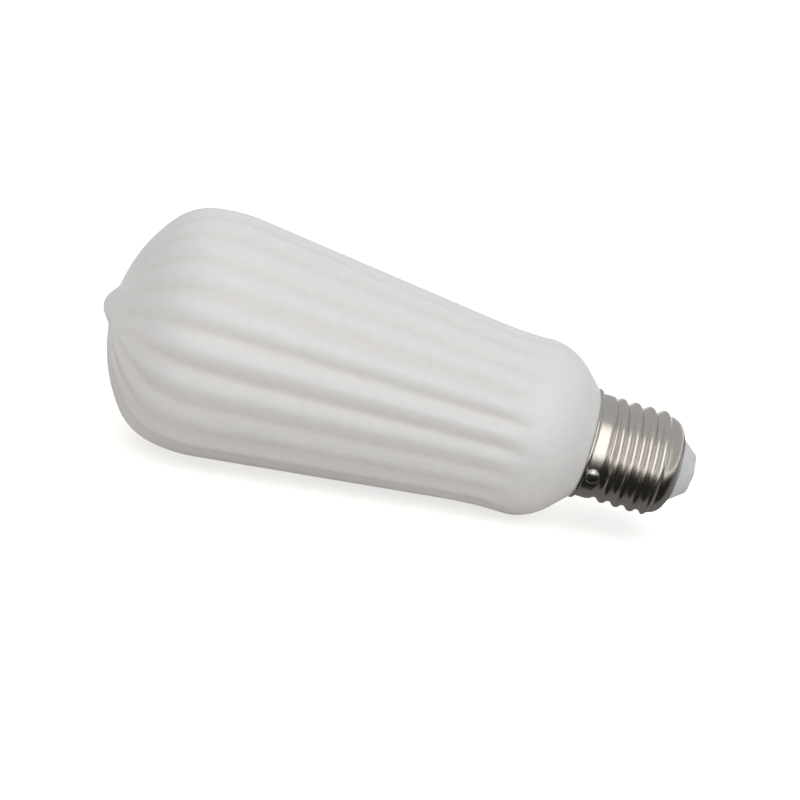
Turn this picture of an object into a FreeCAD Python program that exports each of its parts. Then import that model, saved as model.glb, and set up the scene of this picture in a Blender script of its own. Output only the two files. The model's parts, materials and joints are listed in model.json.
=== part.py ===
import FreeCAD
import Part
import math
import os

# Flame effect LED bulb: a fluted opal glass envelope on a rolled E27 screw cap.
# The parts are drawn along the bulb's own axis, from the pole of the dome to the cap,
# and then laid down as the bulb lies on a table, with the cap towards +X.

# Outline of the glass envelope, as arcs and lines that run on from the widest ring
glass_r = 30.4
waist_round = 38.0
brow_deg = 10.0
brow_round = 15.0
front_deg = 50.0
taper_deg = 6.73
taper_len = 60.7
foot_flare = 12.9
foot_deg = 1.0
foot_len = 3.0
shoulder_round = 15.0
cone_deg = 44.5
neck_r = 11.5
neck_len = 12.0

# Pip at the pole, where the mould closed
pip_base_r = 5.2
pip_nose_round = 4.5
pip_side_deg = 37.5

# Valleys pressed between the flutes, as deep as given at the widest ring
flute_count = 20
valley_depth = 0.95
valley_flank_deg = 22.0
valley_front_round = 43.0
valley_taper_deg = 6.53
valley_len = 66.0
valley_end_round = 42.0
valley_end_deg = 14.0
cutter_high = 2.5

# E27 screw cap, rolled from thin sheet
sheet = 0.3
band_len = 2.95
lip_r = 13.75
lip_len = 0.75
thread_crest_r = 13.05
crest_from_end = 1.2
thread_root_r = 12.1
thread_len = 15.2
end_len = 4.6
end_hole_r = 7.85
end_round = 4.0
end_wall = 5.5

# Insulator pressed into the end of the cap
insulator_len = 3.8
insulator_tip_r = 4.9
collar_r = 9.6
collar_len = 1.4

# Centre contact: a rivet through the insulator
contact_r = 3.9
contact_flat_r = 2.4
contact_high = 0.7
shank_r = 1.5
shank_tail = 1.6

# Solder joint of the side lead on the plain band
solder_r = 2.0
solder_high = 0.9
solder_x_in_band = 1.6
solder_deg = 194.0

# Play left between pieces that seat in one another
fit = 0.05


def at(x, r, deg):
    """Point at a distance along the axis, a radius and an angle from +Y towards +Z."""
    a = math.radians(deg)
    return FreeCAD.Vector(x, r * math.cos(a), r * math.sin(a))


def line(a, b):
    """Edge between two (x, r) points of an outline."""
    return Part.makeLine(at(a[0], a[1], 0), at(b[0], b[1], 0))


def arc(a, mid, b):
    """Arc edge through three (x, r) points of an outline."""
    return Part.Arc(at(a[0], a[1], 0), at(mid[0], mid[1], 0), at(b[0], b[1], 0)).toShape()


def turned(outline):
    """Solid of revolution from a closed chain of edges."""
    face = Part.Face(Part.Wire(outline))
    return face.revolve(FreeCAD.Vector(), FreeCAD.Vector(1, 0, 0), 360)


def off(point, radius, deg):
    """(x, r) point at a radius from a centre, with the angle from straight out towards the cap."""
    a = math.radians(deg)
    return (point[0] + radius * math.sin(a), point[1] + radius * math.cos(a))


class Run:
    """A stretch of an outline: an arc about a centre, or a line when it has no radius."""

    def __init__(self, start, end, centre=None, radius=0.0, degs=(0.0, 0.0)):
        self.start, self.end = start, end
        self.centre, self.radius, self.degs = centre, radius, degs

    def edge(self):
        if not self.centre:
            return line(self.start, self.end)
        return arc(self.start, off(self.centre, self.radius, sum(self.degs) / 2), self.end)


def bend(start, radius, from_deg, to_deg):
    """Arc that leaves a point with its normal at one angle and ends at another."""
    centre = off(start, -radius, from_deg)
    return Run(start, off(centre, radius, to_deg), centre, radius, (from_deg, to_deg))


def straight(start, length, normal_deg):
    """Line that leaves a point at right angles to its normal, towards the cap."""
    return Run(start, off(start, length, normal_deg + 90.0))


def front_stop(centre_r, radius, r):
    """Angle at which an arc of the front reaches a radius from the axis."""
    return -math.degrees(math.acos((r - centre_r) / radius))


def crest_runs():
    """Outline over the tops of the flutes, from the pip to the start of the shoulder."""
    widest = (0.0, glass_r)
    top = bend(widest, waist_round, 0.0, -brow_deg).end
    waist = bend(top, waist_round, -brow_deg, taper_deg)
    brow = bend(top, brow_round, -brow_deg, -front_deg)
    ball = brow.end[1] / math.cos(math.radians(front_deg))
    front = bend(brow.end, ball, -front_deg, front_stop(0.0, ball, pip_base_r))
    taper = straight(waist.end, taper_len, taper_deg)
    foot = straight(taper.end, foot_flare, (taper_deg + foot_deg) / 2)
    band = straight(foot.end, foot_len, foot_deg)
    return [front, brow, waist, taper, foot, band]


def shoulder_run():
    """Round shoulder below the flutes."""
    return bend(crest_runs()[-1].end, shoulder_round, foot_deg, cone_deg)


def cone_x(r):
    """Place on the cone under the shoulder where its radius is r."""
    low = shoulder_run().end
    return low[0] + (low[1] - r) / math.tan(math.radians(cone_deg))


def pip_runs(base):
    """Outline of the pip: a round nose and a straight side down to the dome."""
    side = math.radians(pip_side_deg)
    touch_r = pip_nose_round * math.sin(side)
    touch = (base[0] - (base[1] - touch_r) * math.tan(side), touch_r)
    centre = (touch[0] + pip_nose_round * math.cos(side), 0.0)
    nose = Run((centre[0] - pip_nose_round, 0.0), touch, centre, pip_nose_round, (-90.0, pip_side_deg - 90.0))
    return [nose, Run(touch, base)]


def valley_runs():
    """Line along the bottom of a valley, which leaves the glass at both ends."""
    widest = (0.0, glass_r - valley_depth)
    top = bend(widest, waist_round - valley_depth, 0.0, -brow_deg).end
    waist = bend(top, waist_round - valley_depth, -brow_deg, valley_taper_deg)
    brow = bend(top, brow_round - valley_depth, -brow_deg, -front_deg)
    centre = off(brow.end, -valley_front_round, -front_deg)
    stop = front_stop(centre[1], valley_front_round, pip_base_r)
    front = bend(brow.end, valley_front_round, -front_deg, stop)
    taper = straight(waist.end, valley_len, valley_taper_deg)
    leave = bend(taper.end, -valley_end_round, valley_taper_deg, valley_taper_deg - valley_end_deg)
    return [front, brow, waist, taper, leave]


def cutter(run, normal_deg):
    """Wedge that presses one stretch of a valley, with its edge along the bottom."""
    half = cutter_high / math.tan(math.radians(valley_flank_deg))
    top = off(run.start, cutter_high, normal_deg)
    sides = [at(top[0], top[1], 0) + FreeCAD.Vector(0, 0, z) for z in (half, -half)]
    wedge = Part.Face(Part.makePolygon([at(*run.start, 0), *sides, at(*run.start, 0)]))
    if not run.centre:
        return wedge.extrude(at(*run.end, 0) - at(*run.start, 0))
    turn = run.degs[0] - run.degs[1]
    return wedge.revolve(at(*run.centre, 0), FreeCAD.Vector(0, 0, 1), turn)


def valley():
    """Wedge of a whole valley."""
    runs = valley_runs()
    pieces = [cutter(r, r.degs[0] if r.centre else valley_taper_deg) for r in runs]
    return pieces[0].multiFuse(pieces[1:])


def glass_envelope():
    """Blown envelope: fluted dome and body, pip, round shoulder and the neck in the cap."""
    crest = crest_runs()
    shoulder = shoulder_run()
    neck = (cone_x(neck_r), neck_r)
    tail = (neck[0] + neck_len, neck_r)
    pip = pip_runs(crest[0].end)
    outline = [r.edge() for r in pip + crest + [shoulder]]
    outline += [line(shoulder.end, neck), line(neck, tail)]
    outline += [line(tail, (tail[0], 0.0)), line((tail[0], 0.0), pip[0].start)]
    glass = turned(Part.sortEdges(outline)[0])
    groove = valley()
    cutters = []
    for i in range(flute_count):
        copy = groove.copy()
        copy.rotate(FreeCAD.Vector(), FreeCAD.Vector(1, 0, 0), 360.0 / flute_count * i)
        cutters.append(copy)
    return glass.cut(cutters)


def lip_x():
    """Place of the cap's rim, where its lip meets the cone of the glass."""
    return cone_x(lip_r - sheet - fit)


def band_x():
    """Start of the plain band."""
    return lip_x() + lip_len


def thread_x():
    """Start of the rolled thread."""
    return band_x() + band_len


def end_x():
    """Start of the rounded end of the cap."""
    return thread_x() + thread_len


def end_points():
    """Outline of the cap's end: a rounding in two flats, and a straight side to the hole."""
    centre = (end_x(), thread_root_r - end_round)
    hole = (end_x() + end_len, end_hole_r)
    reach = math.hypot(hole[0] - centre[0], hole[1] - centre[1])
    lean = math.degrees(math.atan2(hole[0] - centre[0], hole[1] - centre[1]))
    turn = lean - math.degrees(math.acos(end_round / reach))
    return [off(centre, end_round, turn / 2), off(centre, end_round, turn), hole]


def seat_x():
    """Place inside the cap's end where the collar of the insulator bears."""
    return end_x() + end_len - end_wall


def screw_shell():
    """Shell of the cap: lip, plain band, sleeve over the thread, and closed-in end."""
    lip = lip_x()
    bore = thread_crest_r - sheet
    outer = [(lip, lip_r), (band_x(), lip_r), (band_x(), thread_crest_r)]
    outer += [(end_x() - crest_from_end, thread_crest_r)] + end_points()
    inner = [(seat_x(), end_hole_r), (seat_x(), bore)]
    inner += [(cone_x(bore - fit), bore), (lip, lip_r - sheet)]
    points = outer + inner + outer[:1]
    return turned([line(a, b) for a, b in zip(points, points[1:])])


def insulator():
    """Moulded insulator: a collar behind the end of the cap and a cone that shows."""
    hole = end_hole_r - fit
    seat = seat_x() - fit
    bore = shank_r + fit
    points = [
        (seat - collar_len, bore),
        (seat - collar_len, collar_r),
        (seat, collar_r),
        (seat, hole),
        (end_x() + end_len, hole),
        (tip_x(), insulator_tip_r),
        (tip_x(), bore),
        (seat - collar_len, bore),
    ]
    return turned([line(a, b) for a, b in zip(points, points[1:])])


def tip_x():
    """Place of the insulator's flat end."""
    return end_x() + end_len + insulator_len


def centre_contact():
    """Rivet: a head with a sloping edge on the insulator, and a shank through it."""
    head = tip_x() + fit
    tail = end_x() - shank_tail
    points = [
        (tail, 0.0),
        (tail, shank_r),
        (head, shank_r),
        (head, contact_r),
        (head + contact_high, contact_flat_r),
        (head + contact_high, 0.0),
        (tail, 0.0),
    ]
    return turned([line(a, b) for a, b in zip(points, points[1:])])


def side_solder():
    """Bead of solder on the plain band, against the lip, over the end of the side lead."""
    axis = FreeCAD.Vector(1, 0, 0)
    ball = (solder_r ** 2 + solder_high ** 2) / (2 * solder_high)
    out = at(0.0, 1.0, solder_deg)
    foot = at(band_x() + solder_x_in_band, 0.0, 0.0) + out * (thread_crest_r - solder_high)
    bead = Part.makeSphere(ball, foot + out * (2 * solder_high - ball))
    block = Part.makeCylinder(solder_r, 2 * solder_high + fit, foot, out)
    band = Part.makeCylinder(thread_crest_r + fit, thread_len, at(lip_x(), 0.0, 0.0), axis)
    lip = Part.makeCylinder(lip_r + fit, lip_len + fit, at(lip_x(), 0.0, 0.0), axis)
    return bead.common(block).cut([band, lip])


def lean_deg():
    """Slope of the axis when the bulb lies on its widest ring and its shoulder."""
    shoulder = shoulder_run()
    half = valley_depth / math.tan(math.radians(valley_flank_deg))
    low_r = math.sqrt(glass_r ** 2 - half ** 2)
    centre = shoulder.centre
    gap = math.hypot(centre[0], low_r - centre[1])
    return math.degrees(math.atan2(low_r - centre[1], centre[0]) - math.asin(shoulder_round / gap))


def main():
    shapes = {
        "glass_envelope": glass_envelope(),
        "screw_shell": screw_shell(),
        "insulator": insulator(),
        "centre_contact": centre_contact(),
        "side_solder": side_solder(),
    }
    lean = FreeCAD.Rotation(FreeCAD.Vector(0, 1, 0), lean_deg())
    for shape in shapes.values():
        shape.rotate(FreeCAD.Vector(), lean.Axis, lean_deg())
    box = Part.Compound(list(shapes.values())).optimalBoundingBox()
    home = FreeCAD.Vector(-(box.XMin + box.XMax) / 2, -(box.YMin + box.YMax) / 2, -box.ZMin)
    os.makedirs("parts", exist_ok=True)
    for name, shape in shapes.items():
        shape.translate(home)
        print(name, shape.isValid(), len(shape.Solids), round(shape.Volume, 2))
        shape.exportStep(f"parts/{name}.step")
    axis_places = {"widest ring": 0.0, "thread start": thread_x(), "cap end": tip_x()}
    for name, x in axis_places.items():
        print(name, lean.multVec(at(x, 0, 0)) + home)
    print("axis", lean.multVec(FreeCAD.Vector(1, 0, 0)), "slope", round(lean_deg(), 3))
    print("size", round(box.XLength, 2), round(box.YLength, 2), round(box.ZLength, 2))


main()
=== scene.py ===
import bpy
import bmesh
import json
import math
from mathutils import Matrix, Vector


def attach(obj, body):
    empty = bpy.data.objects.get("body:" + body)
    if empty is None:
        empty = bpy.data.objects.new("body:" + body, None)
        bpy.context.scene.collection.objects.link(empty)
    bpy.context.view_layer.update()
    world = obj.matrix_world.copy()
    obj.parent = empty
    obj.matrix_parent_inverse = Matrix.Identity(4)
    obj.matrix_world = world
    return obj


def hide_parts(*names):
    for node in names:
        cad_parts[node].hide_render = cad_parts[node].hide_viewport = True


# Flame effect LED bulb: fluted opal glass on a rolled E27 screw cap.
# Sizes are in millimetres along the bulb's own axis, with 0 at its widest ring.

mm = 0.001
weldDistance = 2e-6  # metres
white = (1.0, 1.0, 1.0, 1.0)
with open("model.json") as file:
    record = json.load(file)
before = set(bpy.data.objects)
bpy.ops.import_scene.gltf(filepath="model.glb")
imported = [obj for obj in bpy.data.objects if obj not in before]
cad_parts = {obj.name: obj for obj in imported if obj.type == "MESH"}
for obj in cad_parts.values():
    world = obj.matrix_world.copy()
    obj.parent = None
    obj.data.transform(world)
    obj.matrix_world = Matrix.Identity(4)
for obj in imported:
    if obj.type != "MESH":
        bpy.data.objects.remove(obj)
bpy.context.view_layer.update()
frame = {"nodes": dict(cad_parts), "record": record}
screwMount = frame["record"]["mounts"][0]
bulbAxis = Vector(screwMount["axis"]).normalized()
threadPlace = Vector(screwMount["pos_m"])
print("frame loaded", len(frame["nodes"]), "nodes")


class NodePen:
    # writes nodes into one tree, where a value is a number or another node's socket
    def __init__(self, tree):
        self.tree = tree

    def feed(self, socket, value):
        if isinstance(value, bpy.types.NodeSocket):
            self.tree.links.new(value, socket)
        else:
            socket.default_value = value

    def add(self, kind, inputs=None, **settings):
        node = self.tree.nodes.new(kind)
        for key, value in settings.items():
            setattr(node, key, value)
        for key, value in (inputs or {}).items():
            self.feed(node.inputs[key], value)
        return node

    def maths(self, operation, *values):
        kind = "ShaderNodeMath"
        return self.add(kind, dict(enumerate(values)), operation=operation).outputs[0]

    def whole(self, operation, *values):
        kind = "FunctionNodeIntegerMath"
        return self.add(kind, dict(enumerate(values)), operation=operation).outputs[0]

    def ramp(self, value, start, end, low=0.0, high=1.0, kind="SMOOTHSTEP"):
        node = self.add("ShaderNodeMapRange", interpolation_type=kind)
        for socket, given in zip(node.inputs, (value, start, end, low, high)):
            self.feed(socket, given)
        return node.outputs[0]

    def blend(self, factor, a, b):
        node = self.add("ShaderNodeMix", data_type="FLOAT")
        for socket, given in zip(node.inputs[:1] + node.inputs[2:4], (factor, a, b)):
            self.feed(socket, given)
        return node.outputs[0]


def floats(*labels):
    return [(label, "NodeSocketFloat") for label in labels]


def startTree(name, kind, inputs, outputs):
    tree = bpy.data.node_groups.new(name, kind)
    for label, socketKind in inputs:
        tree.interface.new_socket(name=label, in_out="INPUT", socket_type=socketKind)
    for label, socketKind in outputs:
        tree.interface.new_socket(name=label, in_out="OUTPUT", socket_type=socketKind)
    pen = NodePen(tree)
    given = pen.add("NodeGroupInput").outputs
    result = pen.add("NodeGroupOutput").inputs
    return tree, pen, given, result


def turnTree():
    # spreads an outline round the axis as a grid, and gives each point's place as fields
    tree, pen, given, result = startTree(
        "turnedOutline", "GeometryNodeTree",
        [("Outline", "NodeSocketGeometry"), ("Around", "NodeSocketInt")],
        [("Sheet", "NodeSocketGeometry")] + floats("Along", "Reach", "Angle", "Inset"))
    outline = given["Outline"]
    points = pen.add("GeometryNodeAttributeDomainSize", {0: outline}).outputs["Point Count"]
    columns = pen.whole("ADD", given["Around"], 1)
    grid = pen.add("GeometryNodeMeshGrid", {"Vertices X": points, "Vertices Y": columns})
    index = pen.add("GeometryNodeInputIndex").outputs[0]
    row = pen.whole("DIVIDE_FLOOR", index, columns)
    column = pen.whole("MODULO", index, columns)
    place = pen.add("GeometryNodeInputPosition").outputs[0]
    spot = pen.add("GeometryNodeSampleIndex", {"Geometry": outline, "Value": place, "Index": row},
                   data_type="FLOAT_VECTOR")
    depth = pen.add("GeometryNodeInputNamedAttribute", {"Name": "inset"}, data_type="FLOAT").outputs[0]
    inset = pen.add("GeometryNodeSampleIndex", {"Geometry": outline, "Value": depth, "Index": row},
                    data_type="FLOAT")
    parts = pen.add("ShaderNodeSeparateXYZ", {0: spot.outputs[0]})
    angle = pen.maths("DIVIDE", pen.maths("MULTIPLY", column, math.tau), given["Around"])
    pen.feed(result["Sheet"], grid.outputs["Mesh"])
    pen.feed(result["Along"], parts.outputs["X"])
    pen.feed(result["Reach"], parts.outputs["Y"])
    pen.feed(result["Angle"], angle)
    pen.feed(result["Inset"], inset.outputs[0])
    return tree


turnedOutline = turnTree()

layInputs = [("Outline", "NodeSocketGeometry"), ("Around", "NodeSocketInt"), ("Lean", "NodeSocketFloat"),
             ("Place", "NodeSocketVector"), ("Material", "NodeSocketMaterial")]


def startTurn(name, inputs):
    # a tree for one turned piece, with the fields of its outline
    tree, pen, given, result = startTree(name, "GeometryNodeTree", layInputs + inputs,
                                         [("Piece", "NodeSocketGeometry")])
    turned = pen.add("GeometryNodeGroup", {"Outline": given["Outline"], "Around": given["Around"]},
                     node_tree=turnedOutline)
    return tree, pen, given, result, turned.outputs


def finishTurn(pen, given, result, sheet, along, reach, angle):
    # bends the grid round the axis, closes it, and lays it down in the row's frame
    y = pen.maths("MULTIPLY", reach, pen.maths("COSINE", angle))
    z = pen.maths("MULTIPLY", reach, pen.maths("SINE", angle))
    spot = pen.add("ShaderNodeCombineXYZ", {"X": along, "Y": y, "Z": z}).outputs[0]
    bent = pen.add("GeometryNodeSetPosition", {"Geometry": sheet, "Position": spot}).outputs[0]
    closed = pen.add("GeometryNodeMergeByDistance", {"Geometry": bent, "Distance": weldDistance}).outputs[0]
    outward = pen.add("GeometryNodeFlipFaces", {"Mesh": closed}).outputs[0]
    turn = pen.add("ShaderNodeCombineXYZ", {"Y": given["Lean"]}).outputs[0]
    laid = pen.add("GeometryNodeTransform",
                   {"Geometry": outward, "Translation": given["Place"], "Rotation": turn}).outputs[0]
    smooth = pen.add("GeometryNodeSetShadeSmooth", {"Geometry": laid}).outputs[0]
    real = pen.add("GeometryNodeRealizeInstances", {"Geometry": smooth}).outputs[0]
    final = pen.add("GeometryNodeSetMaterial", {"Geometry": real, "Material": given["Material"]}).outputs[0]
    pen.feed(result[0], final)


def walk(start, strokes, step):
    # follows bends (radius, from and to normal) and lines (length, normal) from a point (along, reach)
    x, r = start
    points = [(x, r)]
    for kind, size, fromDeg, toDeg in strokes:
        a, b = math.radians(fromDeg), math.radians(toDeg)
        length = abs(size) if kind == "line" else abs(size * (b - a))
        count = max(2, round(length / step))
        for i in range(1, count + 1):
            t = i / count
            if kind == "line":
                points.append((x + t * size * math.cos(a), r - t * size * math.sin(a)))
            else:
                c = a + t * (b - a)
                points.append((x + size * (math.sin(c) - math.sin(a)),
                               r + size * (math.cos(c) - math.cos(a))))
        x, r = points[-1]
    return points


def outlineObject(name, points, insets=None):
    mesh = bpy.data.meshes.new(name)
    verts = [(x * mm, r * mm, 0.0) for x, r in points]
    mesh.from_pydata(verts, [(i, i + 1) for i in range(len(verts) - 1)], [])
    inset = mesh.attributes.new("inset", "FLOAT", "POINT")
    inset.data.foreach_set("value", [v * mm for v in (insets or [0.0] * len(verts))])
    piece = bpy.data.objects.new(name, mesh)
    bpy.context.scene.collection.objects.link(piece)
    return piece


def runTree(piece, tree, values):
    # fills the tree's named inputs, and keeps the result as a plain mesh
    modifier = piece.modifiers.new(tree.name, "NODES")
    modifier.node_group = tree
    for item in tree.interface.items_tree:
        if item.item_type == "SOCKET" and item.in_out == "INPUT" and item.name in values:
            modifier[item.identifier] = values[item.name]
    shown = piece.evaluated_get(bpy.context.evaluated_depsgraph_get())
    mesh = bpy.data.meshes.new_from_object(shown)
    piece.modifiers.remove(modifier)
    piece.data = mesh
    mesh.name = piece.name
    print(piece.name, len(mesh.vertices), "points", len(mesh.polygons), "faces")


def plainTree():
    tree, pen, given, result, out = startTurn("plainTurning", [])
    finishTurn(pen, given, result, out["Sheet"], out["Along"], out["Reach"], out["Angle"])
    return tree


plainTurning = plainTree()


def startMaterial(name, **plain):
    material = bpy.data.materials.new(name)
    material.use_nodes = True
    pen = NodePen(material.node_tree)
    shader = material.node_tree.nodes["Principled BSDF"]
    for key, value in plain.items():
        shader.inputs[key.replace("_", " ")].default_value = value
    return material, pen, shader.inputs


def mottleTree():
    # cloudy noise, as a shade between two values and as a height for bumps
    inputs = [("Place", "NodeSocketVector")] + floats("Size", "Detail", "From", "To", "Low", "High")
    tree, pen, given, result = startTree("surfaceMottle", "ShaderNodeTree", inputs, floats("Shade", "Cloud"))
    noise = {"Vector": given["Place"], "Scale": given["Size"], "Detail": given["Detail"]}
    cloud = pen.add("ShaderNodeTexNoise", noise).outputs[0]
    shade = pen.ramp(cloud, given["From"], given["To"], given["Low"], given["High"], "LINEAR")
    pen.feed(result["Shade"], shade)
    pen.feed(result["Cloud"], cloud)
    return tree


surfaceMottle = mottleTree()


def mottle(pen, size, detail, span, shades):
    place = pen.add("ShaderNodeTexCoord").outputs["Object"]
    values = {"Place": place, "Size": size, "Detail": detail, "From": span[0], "To": span[1],
              "Low": shades[0], "High": shades[1]}
    return pen.add("ShaderNodeGroup", values, node_tree=surfaceMottle).outputs


def blendColours(pen, factor, first, second):
    mix = pen.add("ShaderNodeMix", data_type="RGBA")
    for index, value in ((0, factor), (6, first), (7, second)):
        pen.feed(mix.inputs[index], value)
    return mix.outputs[2]


def bumpFrom(pen, shader, cloud, strength, depth):
    bump = pen.add("ShaderNodeBump", {"Height": cloud, "Strength": strength, "Distance": depth})
    pen.feed(shader["Normal"], bump.outputs[0])


# the crease colour, with its share and power, is painted shade: it darkens and warms the glass in its
# creases
opalLook = dict(
    lobe=(0.86, 0.86, 0.855, 1.0), creaseShadeColour=(0.82, 0.77, 0.71, 1.0), creaseShadeShare=0.4, creaseShadePower=1.2,
    roughness=0.45, scatter=0.2, scatterScale=0.003, scatterReach=(1.0, 0.85, 0.7),
    mottleSize=420.0, mottleDetail=3.0, mottleSpan=(0.3, 0.7), mottleShade=0.03,
    bumpStrength=0.35, bumpDepth=0.00003)


def opalGlassMaterial():
    # satin opal glass, faintly mottled by the blowing, with painted shade in its creases: a darker, warmer
    # colour mixed in along the valleys stands in for their shade and warm bounce light
    look = opalLook
    material, pen, shader = startMaterial(
        "opalGlass", Roughness=look["roughness"], Subsurface_Weight=look["scatter"],
        Subsurface_Scale=look["scatterScale"], Subsurface_Radius=look["scatterReach"])
    valley = pen.add("ShaderNodeAttribute", attribute_name="valley").outputs["Fac"]
    # painted shade: how much of the darker, warmer crease colour goes in, following the valley depth
    creaseShadeMask = pen.maths("MULTIPLY", pen.maths("POWER", valley, look["creaseShadePower"]), look["creaseShadeShare"])
    cloud = mottle(pen, look["mottleSize"], look["mottleDetail"], look["mottleSpan"],
                   (1.0 - look["mottleShade"], 1.0))
    glass = blendColours(pen, creaseShadeMask, look["lobe"], look["creaseShadeColour"])
    tone = pen.add("ShaderNodeVectorMath", {0: glass, "Scale": cloud["Shade"]}, operation="SCALE").outputs[0]
    pen.feed(shader["Base Color"], tone)
    bumpFrom(pen, shader, cloud["Cloud"], look["bumpStrength"], look["bumpDepth"])
    return material


def patchyMaterial(name, look):
    # tone and gloss that each drift between two values, and a bump from the cloud of one of them
    material, pen, shader = startMaterial(name, Metallic=look["metallic"])
    clouds = dict(
        tone=mottle(pen, look["toneSize"], look["toneDetail"], look["toneSpan"], (0.0, 1.0)),
        gloss=mottle(pen, look["glossSize"], look["glossDetail"], look["glossSpan"], look["gloss"]))
    pen.feed(shader["Base Color"], blendColours(pen, clouds["tone"]["Shade"], *look["colours"]))
    pen.feed(shader["Roughness"], clouds["gloss"]["Shade"])
    bumpFrom(pen, shader, clouds[look["bumpBy"]]["Cloud"], look["bumpStrength"], look["bumpDepth"])
    return material


# nickel plate on rolled sheet: faint ripples, and fine duller specks
nickelLook = dict(
    metallic=1.0, colours=((0.66, 0.63, 0.59, 1.0), (0.59, 0.555, 0.51, 1.0)),
    toneSize=1500.0, toneDetail=4.0, toneSpan=(0.45, 0.8),
    gloss=(0.22, 0.28), glossSize=260.0, glossDetail=2.0, glossSpan=(0.35, 0.7),
    bumpBy="gloss", bumpStrength=0.4, bumpDepth=0.000035)

# moulded white plastic, a little uneven in tone and gloss
mouldingLook = dict(
    metallic=0.0, colours=((0.74, 0.75, 0.77, 1.0), (0.67, 0.675, 0.69, 1.0)),
    toneSize=520.0, toneDetail=3.0, toneSpan=(0.35, 0.7),
    gloss=(0.3, 0.42), glossSize=1040.0, glossDetail=2.0, glossSpan=(0.35, 0.7),
    bumpBy="tone", bumpStrength=0.3, bumpDepth=0.00003)

# solder that froze with a slightly wrinkled, patchy shine
solderLook = dict(
    metallic=1.0, colours=((0.64, 0.64, 0.65, 1.0), (0.5, 0.5, 0.5, 1.0)),
    toneSize=1100.0, toneDetail=3.0, toneSpan=(0.4, 0.75),
    gloss=(0.16, 0.3), glossSize=550.0, glossDetail=2.0, glossSpan=(0.35, 0.7),
    bumpBy="gloss", bumpStrength=0.4, bumpDepth=0.00004)

opalGlass = opalGlassMaterial()
nickelPlate = patchyMaterial("nickelPlate", nickelLook)
whiteMoulding = patchyMaterial("whiteMoulding", mouldingLook)
tinSolder = patchyMaterial("tinSolder", solderLook)
print("materials made")


envelope = dict(
    glassR=30.4, waistRound=38.0, browDeg=10.0, browRound=15.0, frontDeg=50.0,
    taperDeg=6.73, taperLen=60.7, footRound=130.0, footDeg=1.0, footLen=3.0,
    shoulderRound=15.0, coneDeg=44.5, neckR=11.5, neckLen=12.0,
    pipBaseR=5.2, pipNoseRound=4.5, pipSideDeg=37.5, pipFillet=0.8,
    flutes=20, valleyDepth=1.35, crestPower=2.8, creaseRound=0.35, sizePower=0.6,
    fadeStart=71.5, fadeEnd=82.5, pipFadeR=4.0, pipFullR=9.0,
    around=320, bodyStep=1.2, coneStep=1.0, neckStep=3.0, frontStep=0.8, pipStep=0.35)


def envelopeOutline():
    e = envelope
    ring = (0.0, e["glassR"])
    body = [("bend", e["waistRound"], 0, e["taperDeg"]),
            ("line", e["taperLen"], e["taperDeg"], e["taperDeg"]),
            ("bend", -e["footRound"], e["taperDeg"], e["footDeg"]),
            ("line", e["footLen"], e["footDeg"], e["footDeg"]),
            ("bend", e["shoulderRound"], e["footDeg"], e["coneDeg"])]
    back = walk(ring, body, e["bodyStep"])
    coneLen = (back[-1][1] - e["neckR"]) / math.sin(math.radians(e["coneDeg"]))
    cone = walk(back[-1], [("line", coneLen, e["coneDeg"], e["coneDeg"])], e["coneStep"])
    neck = walk(cone[-1], [("line", e["neckLen"], 0, 0), ("line", e["neckR"], 90, 90)], e["neckStep"])
    brow = walk(ring, [("bend", e["waistRound"], 0, -e["browDeg"]),
                       ("bend", e["browRound"], -e["browDeg"], -e["frontDeg"])], e["frontStep"])
    low = brow[-1]
    ball = low[1] / math.cos(math.radians(e["frontDeg"]))  # the front is a sphere about the axis
    stopDeg = math.degrees(math.acos(e["pipBaseR"] / ball))
    sideDeg = 90.0 - e["pipSideDeg"]
    front = walk(low, [("bend", ball, -e["frontDeg"], -stopDeg),
                       ("bend", -e["pipFillet"], -stopDeg, -sideDeg)], e["frontStep"])
    touchR = e["pipNoseRound"] * math.cos(math.radians(sideDeg))
    sideLen = (front[-1][1] - touchR) / math.sin(math.radians(sideDeg))
    pip = walk(front[-1], [("line", -sideLen, -sideDeg, -sideDeg),
                           ("bend", e["pipNoseRound"], -sideDeg, -90)], e["pipStep"])
    points = pip[:0:-1] + front[:0:-1] + brow[:0:-1] + back + cone[1:] + neck[1:]
    return points, cone


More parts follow.
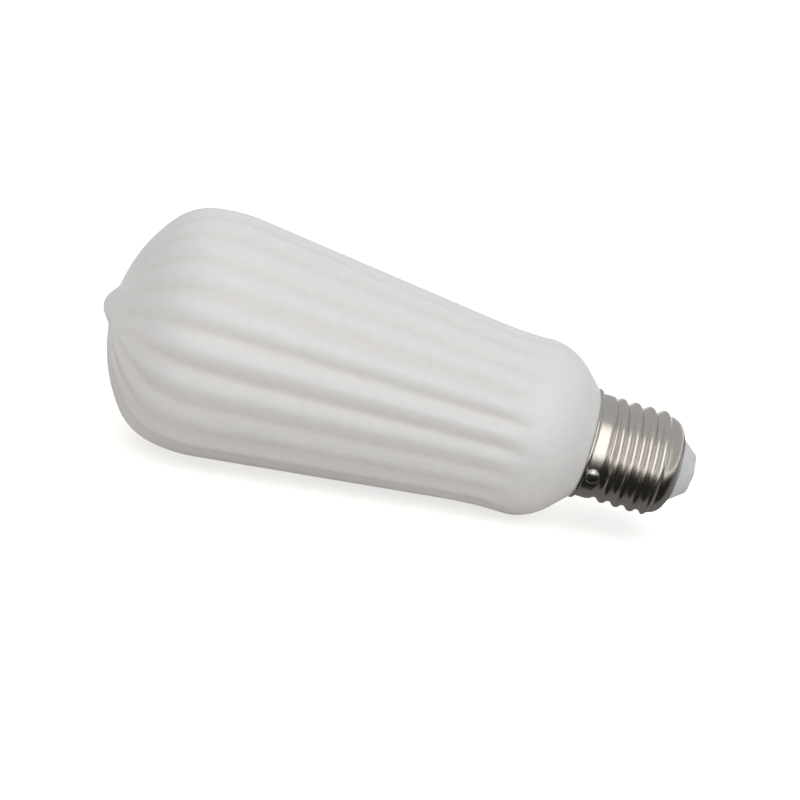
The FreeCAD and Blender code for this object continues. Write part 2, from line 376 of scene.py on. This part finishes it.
def fluteTree():
    tree, pen, given, result, out = startTurn("flutedGlass", floats(
        "Flutes", "Valley Depth", "Full Radius", "Crest Power", "Crease Round", "Size Power",
        "Fade Start", "Fade End", "Pip Radius", "Pip Full Radius"))
    turns = pen.maths("DIVIDE", pen.maths("MULTIPLY", out["Angle"], given["Flutes"]), math.tau)
    doubled = pen.maths("MULTIPLY", pen.maths("FRACT", turns), 2.0)
    # off is 0 in a crease and 1 on a crest, and its foot is rounded
    off = pen.maths("SUBTRACT", 1.0, pen.maths("ABSOLUTE", pen.maths("SUBTRACT", doubled, 1.0)))
    soft = pen.maths("SQRT", pen.maths("ADD", pen.maths("MULTIPLY", off, off),
                                       pen.maths("MULTIPLY", given["Crease Round"], given["Crease Round"])))
    rise = pen.maths("MINIMUM", pen.maths("SUBTRACT", soft, given["Crease Round"]), 1.0)
    valley = pen.maths("POWER", pen.maths("SUBTRACT", 1.0, rise), given["Crest Power"])
    back = pen.ramp(out["Along"], given["Fade Start"], given["Fade End"], 1.0, 0.0)
    front = pen.ramp(out["Reach"], given["Pip Radius"], given["Pip Full Radius"])
    size = pen.maths("POWER", pen.maths("DIVIDE", out["Reach"], given["Full Radius"]), given["Size Power"])
    strength = pen.maths("MULTIPLY", pen.maths("MULTIPLY", back, front), size)
    cut = pen.maths("MULTIPLY", pen.maths("MULTIPLY", valley, strength), given["Valley Depth"])
    reach = pen.maths("SUBTRACT", out["Reach"], cut)
    mark = {"Geometry": out["Sheet"], "Name": "valley", "Value": pen.maths("MULTIPLY", valley, strength)}
    marked = pen.add("GeometryNodeStoreNamedAttribute", mark, data_type="FLOAT", domain="POINT")
    finishTurn(pen, given, result, marked.outputs[0], out["Along"], reach, out["Angle"])
    return tree


envelopePoints, conePoints = envelopeOutline()


def coneX(reach):
    # place on the cone under the shoulder where it has a radius
    (x0, r0), (x1, r1) = conePoints[0], conePoints[-1]
    return x0 + (r0 - reach) * (x1 - x0) / (r0 - r1)


# rimRound, lipCorner and lipFoot shape the lip, and threadStart is where the thread's own rows begin
cap = dict(
    sheet=0.3, fit=0.05, lipR=13.75, lipLen=0.75, bandR=12.95, bandLen=2.95,
    rimRound=0.1, lipCorner=(0.25, 0.2), lipFoot=(0.05, 0.12), footEnd=0.2, bandStart=0.5,
    crestR=13.05, rootR=12.1, pitch=3.63, threadLen=15.2, firstCrest=6.18, firstCrestDeg=71.3,
    threadStart=0.15, easeLen=2.6, runIn=(3.9, 6.1), runOut=(18.2, 19.6),
    endRound=4.0, endLen=4.6, holeR=7.85,
    around=220, bandStep=0.25, threadStep=0.13, endStep=0.2, innerEndStep=0.5, innerThreadStep=0.26)

lipX = coneX(cap["lipR"] - cap["sheet"] - cap["fit"])
threadX = lipX + cap["lipLen"] + cap["bandLen"]
endX = threadX + cap["threadLen"]
lean = math.atan2(-bulbAxis.z, bulbAxis.x)
ringPlace = threadPlace - bulbAxis * threadX * mm
lay = dict(Lean=lean, Place=tuple(ringPlace))
print("bulb laid, axis at", round(math.degrees(lean), 2), "degrees, widest ring at",
      tuple(round(v, 5) for v in ringPlace))


def endStrokes(inset):
    # rounded end of the cap, from the end of the thread to the hole, at a depth in the sheet
    radius = cap["endRound"] - inset
    centre = (endX, cap["rootR"] - cap["endRound"])
    hole = (endX + cap["endLen"] - inset, cap["holeR"])
    reach = math.hypot(hole[0] - centre[0], hole[1] - centre[1])
    turn = math.atan2(hole[0] - centre[0], hole[1] - centre[1]) - math.acos(radius / reach)
    side = math.sqrt(reach * reach - radius * radius)
    deg = math.degrees(turn)
    return [("bend", radius, 0, deg), ("line", side, deg, deg)]


def shellOutline():
    c = cap
    sheet, lipEnd, innerBandR = c["sheet"], lipX + c["lipLen"], c["bandR"] - c["sheet"]
    rowX, rowsLen = threadX + c["threadStart"], c["threadLen"] - c["threadStart"]
    outer = [(lipX + c["rimRound"], c["lipR"] - sheet), (lipX, c["lipR"] - sheet / 2),
             (lipX + c["rimRound"], c["lipR"]), (lipEnd - c["lipCorner"][0], c["lipR"]),
             (lipEnd, c["lipR"] - c["lipCorner"][1]),
             (lipEnd + c["lipFoot"][0], c["bandR"] + c["lipFoot"][1]), (lipEnd + c["footEnd"], c["bandR"])]
    outer += walk((lipEnd + c["bandStart"], c["bandR"]),
                  [("line", c["bandLen"] - c["bandStart"], 0, 0)], c["bandStep"])
    for x, r in walk((rowX, c["rootR"]), [("line", rowsLen, 0, 0)], c["threadStep"]):
        near = max(0.0, 1.0 - (x - threadX) / c["easeLen"])  # the band runs down into the first root
        outer.append((x, r + (c["bandR"] - r) * near * near * (3 - 2 * near)))
    outer += walk((endX, c["rootR"]), endStrokes(0.0), c["endStep"])[1:]
    inner = walk((endX, c["rootR"] - sheet), endStrokes(sheet), c["innerEndStep"])[::-1]
    inner += walk((rowX, c["rootR"] - sheet), [("line", rowsLen, 0, 0)], c["innerThreadStep"])[-2::-1]
    inner += [(threadX, innerBandR), (lipEnd + c["footEnd"], innerBandR)]
    points = outer + inner + outer[:1]
    insets = [0.0] * len(outer) + [sheet] * len(inner) + [0.0]
    return points, insets


def threadTree():
    tree, pen, given, result, out = startTurn("rolledThread", floats(
        "Crest Radius", "Root Radius", "Pitch", "First Crest", "First Crest Angle",
        "Run In Start", "Run In End", "Run Out Start", "Run Out End"))
    turns = pen.maths("DIVIDE", pen.maths("SUBTRACT", out["Angle"], given["First Crest Angle"]), math.tau)
    pitches = pen.maths("DIVIDE", pen.maths("SUBTRACT", out["Along"], given["First Crest"]), given["Pitch"])
    phase = pen.maths("FRACT", pen.maths("ADD", pen.maths("SUBTRACT", pitches, turns), 0.5))
    # how far the nearest crest is, in pitches, then the two arcs that make crest and root
    near = pen.maths("ABSOLUTE", pen.maths("SUBTRACT", phase, 0.5))
    half = pen.maths("MULTIPLY", pen.maths("SUBTRACT", given["Crest Radius"], given["Root Radius"]), 0.5)
    quarter = pen.maths("MULTIPLY", given["Pitch"], 0.25)
    squares = pen.maths("ADD", pen.maths("MULTIPLY", half, half), pen.maths("MULTIPLY", quarter, quarter))
    bend = pen.maths("DIVIDE", squares, pen.maths("MULTIPLY", half, 2.0))

    def arcDrop(share):
        side = pen.maths("MULTIPLY", share, given["Pitch"])
        rest = pen.maths("SUBTRACT", pen.maths("MULTIPLY", bend, bend), pen.maths("MULTIPLY", side, side))
        return pen.maths("SUBTRACT", bend, pen.maths("SQRT", pen.maths("MAXIMUM", rest, 0.0)))

    crest = pen.maths("SUBTRACT", given["Crest Radius"], arcDrop(near))
    root = pen.maths("ADD", given["Root Radius"], arcDrop(pen.maths("SUBTRACT", 0.5, near)))
    wave = pen.blend(pen.maths("GREATER_THAN", near, 0.25), crest, root)
    window = pen.maths("MULTIPLY", pen.ramp(out["Along"], given["Run In Start"], given["Run In End"]),
                       pen.ramp(out["Along"], given["Run Out Start"], given["Run Out End"], 1.0, 0.0))
    reach = pen.blend(window, out["Reach"], pen.maths("SUBTRACT", wave, out["Inset"]))
    finishTurn(pen, given, result, out["Sheet"], out["Along"], reach, out["Angle"])
    return tree


moulding = dict(insulatorLen=3.8, tipR=4.9, edgeRound=0.5, shankR=1.5, collarLen=1.9, collarRim=0.35,
                around=120, step=0.25)
rivet = dict(headR=3.9, headHigh=0.7, headRim=0.1, shankTail=1.6, around=72, step=0.3)
tipX = endX + cap["endLen"] + moulding["insulatorLen"]


def insulatorOutline():
    m, hole = moulding, cap["holeR"] - cap["fit"]
    start = endX + cap["endLen"]
    slope = math.degrees(math.atan2(hole - m["tipR"], m["insulatorLen"]))
    bore = m["shankR"] + cap["fit"]
    edgeLen = m["edgeRound"] * math.tan(math.radians((90 - slope) / 2))
    sideLen = m["insulatorLen"] / math.cos(math.radians(slope)) - edgeLen
    side = walk((start, hole), [("line", sideLen, slope, slope), ("bend", m["edgeRound"], slope, 90)],
                m["step"])
    inner = [(start - m["collarLen"], bore), (start - m["collarLen"], hole), (start - m["collarRim"], hole)]
    points = inner + side + [(side[-1][0], bore)]
    return points + points[:1]


def rivetOutline():
    r, shankR = rivet, moulding["shankR"]
    head = tipX + cap["fit"]
    ball = (r["headR"] ** 2 + r["headHigh"] ** 2) / (2 * r["headHigh"])
    edgeDeg = math.degrees(math.asin(1 - r["headHigh"] / ball))
    dome = walk((head, r["headR"]), [("bend", ball, edgeDeg, 90)], r["step"])
    tail = endX - r["shankTail"]
    return [(tail, 0.0), (tail, shankR), (head, shankR), (head, r["headR"] - r["headRim"])] + dome


def makeEnvelope():
    e = envelope
    piece = outlineObject("opalEnvelope", envelopePoints)
    values = {"Around": e["around"], "Flutes": float(e["flutes"]), "Valley Depth": e["valleyDepth"] * mm,
              "Full Radius": e["glassR"] * mm, "Crest Power": e["crestPower"],
              "Crease Round": e["creaseRound"], "Size Power": e["sizePower"],
              "Fade Start": e["fadeStart"] * mm, "Fade End": e["fadeEnd"] * mm,
              "Pip Radius": e["pipFadeR"] * mm, "Pip Full Radius": e["pipFullR"] * mm, "Material": opalGlass}
    runTree(piece, fluteTree(), {**lay, **values})
    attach(piece, "root")
    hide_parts("glass_envelope")


def makeShell():
    c = cap
    piece = outlineObject("threadedShell", *shellOutline())
    values = {"Around": c["around"], "Crest Radius": c["crestR"] * mm, "Root Radius": c["rootR"] * mm,
              "Pitch": c["pitch"] * mm, "First Crest": (lipX + c["firstCrest"]) * mm,
              "First Crest Angle": math.radians(c["firstCrestDeg"]),
              "Run In Start": (lipX + c["runIn"][0]) * mm, "Run In End": (lipX + c["runIn"][1]) * mm,
              "Run Out Start": (lipX + c["runOut"][0]) * mm, "Run Out End": (lipX + c["runOut"][1]) * mm,
              "Material": nickelPlate}
    runTree(piece, threadTree(), {**lay, **values})
    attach(piece, "root")
    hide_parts("screw_shell")


def makeSmallTurnings():
    cone = outlineObject("insulatorCone", insulatorOutline())
    runTree(cone, plainTurning, {**lay, "Around": moulding["around"], "Material": whiteMoulding})
    contact = outlineObject("contactRivet", rivetOutline())
    runTree(contact, plainTurning, {**lay, "Around": rivet["around"], "Material": nickelPlate})
    for piece, node, slot in ((cone, "insulator", "white_insulator"),
                              (contact, "centre_contact", "contact_metal")):
        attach(piece, "root")
        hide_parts(node)


def turnOutward(mesh):
    work = bmesh.new()
    work.from_mesh(mesh)
    bmesh.ops.recalc_face_normals(work, faces=work.faces)
    work.to_mesh(mesh)
    work.free()


# lift and underLift keep the dome and its underside off the band
solder = dict(halfLen=1.85, halfWide=2.1, high=0.92, xInBand=1.85, deg=196.0, lift=0.03, underLift=0.02,
              bulge=0.05, bulgeTurn=0.6, skew=0.04, rings=14, around=48)


def makeBead():
    # a frozen drop that wets the band: a low dome wrapped on the cylinder, closed underneath
    b = solder
    centreX = lipX + cap["lipLen"] + b["xInBand"]
    turn = Matrix.Rotation(lean, 3, "Y")

    def spot(share, theta, high):
        angle = math.radians(b["deg"]) + b["halfWide"] * share * math.sin(theta) / cap["bandR"]
        wobble = 1.0 + b["bulge"] * math.sin(3 * theta + b["bulgeTurn"]) + b["skew"] * math.sin(2 * theta)
        x = centreX + b["halfLen"] * share * wobble * math.cos(theta)
        r = cap["bandR"] + high
        return turn @ Vector((x, r * math.cos(angle), r * math.sin(angle))) * mm + ringPlace

    shares = [math.sin(math.pi / 2 * i / b["rings"]) for i in range(1, b["rings"] + 1)]
    levels = [(s, b["lift"] + b["high"] * math.sqrt(max(0.0, 1 - s * s))) for s in shares]
    levels += [(s, b["underLift"]) for s in shares[-2::-1]]
    verts, faces = [spot(0.0, 0.0, b["lift"] + b["high"])], []
    for share, high in levels:
        verts += [spot(share, math.tau * i / b["around"], high) for i in range(b["around"])]
    verts.append(spot(0.0, 0.0, b["underLift"]))
    n, last = b["around"], len(verts) - 1
    for i in range(n):
        j = (i + 1) % n
        faces.append((0, 1 + i, 1 + j))
        faces.append((last, last - n + j, last - n + i))
        for row in range(len(levels) - 1):
            low, high = 1 + row * n, 1 + (row + 1) * n
            faces.append((low + i, high + i, high + j, low + j))
    mesh = bpy.data.meshes.new("solderBead")
    mesh.from_pydata(verts, [], faces)
    mesh.shade_smooth()
    mesh.materials.append(tinSolder)
    bead = bpy.data.objects.new("solderBead", mesh)
    bpy.context.scene.collection.objects.link(bead)
    turnOutward(mesh)
    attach(bead, "root")
    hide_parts("side_solder")


makeEnvelope()
makeShell()
makeSmallTurnings()
makeBead()
print("pieces made")


studio = dict(
    floorSize=6.0, floorColour=(0.8, 0.765, 0.725, 1.0), floorRoughness=0.9, glow=0.64, fill=0.088,
    roomLight=0.345, gleam=0.5, lampColour=(0.97, 0.985, 1.0), lampAim=(0.0, 0.0, 0.03))


def floorMaterial():
    # matt, and seen by camera and glossy rays as lit from itself
    material, pen, shader = startMaterial(
        "paleFloor", Base_Color=studio["floorColour"], Roughness=studio["floorRoughness"],
        Specular_IOR_Level=0.0, Emission_Color=white)
    path = pen.add("ShaderNodeLightPath").outputs
    seen = pen.maths("MAXIMUM", path["Is Camera Ray"], path["Is Glossy Ray"])
    pen.feed(shader["Emission Strength"], pen.blend(seen, studio["fill"], studio["glow"]))
    return material


def makeFloor():
    bpy.ops.mesh.primitive_plane_add(size=studio["floorSize"])
    floor = bpy.context.object
    floor.name = "studioFloor"
    floor.data.materials.append(floorMaterial())


# side is where a card starts to fade, and its rim is just past the half width of its plane
cardLook = dict(colour=(1.0, 0.97, 0.93, 1.0), rim=0.5001, fadePower=0.35)
# the front and under cards are painted shadow: dark sheets, seen only in reflections, that stand for the
# floor in the bulb's shade in front of and under the cap
cards = dict(
    frontShadowCard=dict(centre=(0.06, -0.095, 0.0005), tilt=0.0, size=(0.34, 0.17), side=0.499,
                   ends=(0.32, -0.5), shades=(0.015, 0.95)),
    underShadowCard=dict(centre=(0.06, 0.08, 0.0005), tilt=0.0, size=(0.34, 0.18), side=0.499,
                   ends=(0.5, -0.5), shades=(0.14, 0.17)),
    stripCard=dict(centre=(0.16, -0.532, 0.579), tilt=65.0, size=(1.3, 1.3), side=0.085,
                   ends=(0.5, 0.08), shades=(0.45, 1.9)))


def cardMaterial(name):
    c = cards[name]
    material = bpy.data.materials.new(name)
    material.use_nodes = True
    tree = material.node_tree
    tree.nodes.clear()
    pen = NodePen(tree)
    place = pen.add("ShaderNodeTexCoord").outputs["Object"]
    spot = pen.add("ShaderNodeSeparateXYZ", {0: place}).outputs
    shade = pen.ramp(spot["Y"], *c["ends"], *c["shades"])
    glow = pen.add("ShaderNodeEmission", {"Color": cardLook["colour"], "Strength": shade}).outputs[0]
    clear = pen.add("ShaderNodeBsdfTransparent").outputs[0]
    fade = pen.ramp(pen.maths("ABSOLUTE", spot["X"]), c["side"], cardLook["rim"])
    aside = pen.maths("POWER", fade, cardLook["fadePower"])
    mixed = pen.add("ShaderNodeMixShader", {0: aside, 1: glow, 2: clear}).outputs[0]
    pen.feed(pen.add("ShaderNodeOutputMaterial").inputs["Surface"], mixed)
    return material


def makeCard(name):
    # a card that only shows in reflections, shaded along its length and soft at its sides; the dark ones are
    # painted shadow
    c = cards[name]
    bpy.ops.mesh.primitive_plane_add(size=1.0, location=c["centre"])
    card = bpy.context.object
    card.name = name
    card.scale = (*c["size"], 1.0)
    card.rotation_euler.x = math.radians(c["tilt"])
    card.data.materials.append(cardMaterial(name))
    card.visible_camera = card.visible_diffuse = False
    card.visible_shadow = card.visible_transmission = False


def makeWorld():
    world = bpy.data.worlds.new("paleRoom")
    world.use_nodes = True
    bpy.context.scene.world = world
    pen = NodePen(world.node_tree)
    path = pen.add("ShaderNodeLightPath").outputs
    back = world.node_tree.nodes["Background"]
    room = pen.blend(path["Is Glossy Ray"], studio["roomLight"], studio["gleam"])
    pen.feed(back.inputs["Strength"], pen.blend(path["Is Camera Ray"], room, 1.0))
    back.inputs["Color"].default_value = white


lamps = dict(
    topSoftbox=dict(place=(0.08, -0.5, 1.06), size=(1.6, 1.3), power=8.55),
    backSoftbox=dict(place=(0.1, 0.9, 1.1), size=(1.2, 1.0), power=2.7))


def makeLamp(name):
    # a soft lamp that stays out of reflections, where the cards take its place
    given = lamps[name]
    lamp = bpy.data.lights.new(name, "AREA")
    lamp.shape = "RECTANGLE"
    lamp.size, lamp.size_y = given["size"]
    lamp.energy = given["power"]
    lamp.color = studio["lampColour"]
    holder = bpy.data.objects.new(name, lamp)
    bpy.context.scene.collection.objects.link(holder)
    holder.visible_glossy = False
    holder.location = given["place"]
    aim = Vector(studio["lampAim"]) - Vector(given["place"])
    holder.rotation_euler = aim.to_track_quat("-Z", "Y").to_euler()


cameraView = dict(lens=270.0, clipEnd=20.0, distance=1.4589, azimuth=5.31, elevation=19.19, roll=12.63,
                  aimFromRing=(0.0485, -0.00133, -0.00733))


def makeCamera():
    v = cameraView
    az, el = math.radians(v["azimuth"]), math.radians(v["elevation"])
    look = Vector((math.cos(el) * math.sin(az), math.cos(el) * math.cos(az), -math.sin(el)))
    camera = bpy.data.cameras.new("photoCamera")
    camera.lens = v["lens"]
    camera.clip_end = v["clipEnd"]
    holder = bpy.data.objects.new("photoCamera", camera)
    bpy.context.scene.collection.objects.link(holder)
    level = look.to_track_quat("-Z", "Y").to_matrix()
    turned = level @ Matrix.Rotation(math.radians(v["roll"]), 3, "Z")
    stand = ringPlace + Vector(v["aimFromRing"]) - look * v["distance"]
    holder.matrix_world = Matrix.Translation(stand) @ turned.to_4x4()
    bpy.context.scene.camera = holder


makeFloor()
makeWorld()
for cardName in cards:
    makeCard(cardName)
for lampName in lamps:
    makeLamp(lampName)
makeCamera()
bpy.context.scene.view_settings.view_transform = "Standard"
print("studio set")
